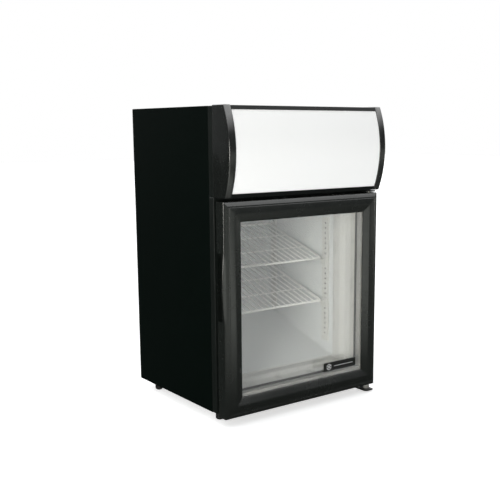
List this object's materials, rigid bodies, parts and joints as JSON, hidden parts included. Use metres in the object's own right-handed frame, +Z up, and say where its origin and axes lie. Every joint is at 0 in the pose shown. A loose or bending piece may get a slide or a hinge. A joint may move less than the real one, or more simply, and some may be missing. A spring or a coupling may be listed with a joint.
{
  "type": "glass door merchandiser",
  "caption": "Countertop refrigerated display cabinet with a hinged glass door, wire shelves and a curved lit sign box above the door.",
  "frame": {"origin": "on the floor plane, under the middle of the whole object's bounding box", "axes": "+X to the cabinet's right side as seen from the front, where the hinges are, +Y to the back, +Z up"},
  "size_m": [0.434, 0.404, 0.675],
  "materials": {
    "body_black": "satin black powder coat",
    "frame_grey": "satin dark grey-green",
    "galvanised": "zinc coated sheet",
    "bracket_steel": "satin",
    "liner_white": "satin white",
    "wire_white": "gloss white epoxy coat",
    "foam_yellow": "matte foam",
    "glass_clear": "clear",
    "spacer_grey": "satin",
    "gasket_black": "matte",
    "sign_black": "gloss black",
    "sign_white": "translucent white",
    "tube_white": "white lamp",
    "tray_white": "white",
    "nylon_white": "satin",
    "plastic_black": "satin",
    "plastic_grey": "satin",
    "compressor_black": "semi-gloss black",
    "fin_metal": "bright",
    "screw_steel": "zinc"
  },
  "bodies": {
    "cabinet": {"side_panel_left": "body_black", "side_panel_right": "body_black", "top_cover": "body_black", "back_panel": "galvanised", "rear_grille": "body_black", "base_pan": "galvanised", "front_frame": "frame_grey", "sign_fascia": "frame_grey", "insulation_foam": "foam_yellow", "inner_liner": "liner_white", "mouth_breaker": "liner_white", "machine_deck": "galvanised", "shelf_pilasters": "wire_white", "shelf_clips": "wire_white", "shelf_upper": "wire_white", "shelf_lower": "wire_white", "evaporator_cover": "liner_white", "evaporator_coil": "fin_metal", "evaporator_fan_motor": "galvanised", "room_lamp": "tube_white", "sign_housing": "tray_white", "sign_panel": "sign_white", "sign_top_trim": "sign_black", "sign_bottom_trim": "sign_black", "sign_cap_left": "sign_black", "sign_cap_right": "sign_black", "sign_tubes": "tube_white", "sign_tube_holders": "nylon_white", "hinge_bracket_top": "body_black", "hinge_bracket_bottom": "body_black", "hinge_pins": "screw_steel", "compressor": "compressor_black", "compressor_mounts": "gasket_black", "condenser_coil": "compressor_black", "condenser_fan_motor": "plastic_black", "condenser_fan_shroud": "galvanised", "control_plate": "plastic_black", "thermostat": "bracket_steel", "light_switch": "plastic_black", "power_inlet": "plastic_black", "case_screws": "screw_steel"},
    "door": {"door_stile_left": "frame_grey", "door_stile_right": "frame_grey", "door_rail_top": "frame_grey", "door_rail_bottom": "frame_grey", "door_glass_front": "glass_clear", "door_glass_rear": "glass_clear", "door_glass_spacer": "spacer_grey", "door_inner_frame": "plastic_black", "door_gasket": "gasket_black", "door_bushes": "nylon_white", "door_badge": "sign_black"},
    "evaporator_fan": {"evaporator_fan": "plastic_black"},
    "condenser_fan": {"condenser_fan": "fin_metal"},
    "thermostat_knob": {"thermostat_knob": "plastic_grey"},
    "light_rocker": {"light_rocker": "plastic_black"},
    "foot_front_left": {"foot_front_left": "plastic_black"},
    "foot_front_right": {"foot_front_right": "plastic_black"},
    "foot_rear_left": {"foot_rear_left": "plastic_black"},
    "foot_rear_right": {"foot_rear_right": "plastic_black"}
  },
  "joints": [
    {"name": "door_hinge", "type": "hinge", "parent": "cabinet", "child": "door", "pos_m": [0.205, -0.163, 0.249], "axis": [0, 0, 1], "range_deg": [0, 110]},
    {"name": "evaporator_fan_spin", "type": "hinge", "parent": "cabinet", "child": "evaporator_fan", "pos_m": [0.002, 0.072, 0.4285], "axis": [0, 0, 1], "continuous": true},
    {"name": "condenser_fan_spin", "type": "hinge", "parent": "cabinet", "child": "condenser_fan", "pos_m": [-0.093, 0.128, 0.582], "axis": [0, 1, 0], "continuous": true},
    {"name": "thermostat_turn", "type": "hinge", "parent": "cabinet", "child": "thermostat_knob", "pos_m": [0.13, 0.1804, 0.612], "axis": [0, 1, 0], "range_deg": [0, 270]},
    {"name": "light_switch_rock", "type": "hinge", "parent": "cabinet", "child": "light_rocker", "pos_m": [0.13, 0.178, 0.577], "axis": [1, 0, 0], "range_deg": [-16, 0]},
    {"name": "foot_front_left_height", "type": "slide", "parent": "cabinet", "child": "foot_front_left", "axis": [0, 0, -1], "range_m": [0, 0.008]},
    {"name": "foot_front_right_height", "type": "slide", "parent": "cabinet", "child": "foot_front_right", "axis": [0, 0, -1], "range_m": [0, 0.008]},
    {"name": "foot_rear_left_height", "type": "slide", "parent": "cabinet", "child": "foot_rear_left", "axis": [0, 0, -1], "range_m": [0, 0.008]},
    {"name": "foot_rear_right_height", "type": "slide", "parent": "cabinet", "child": "foot_rear_right", "axis": [0, 0, -1], "range_m": [0, 0.008]}
  ]
}
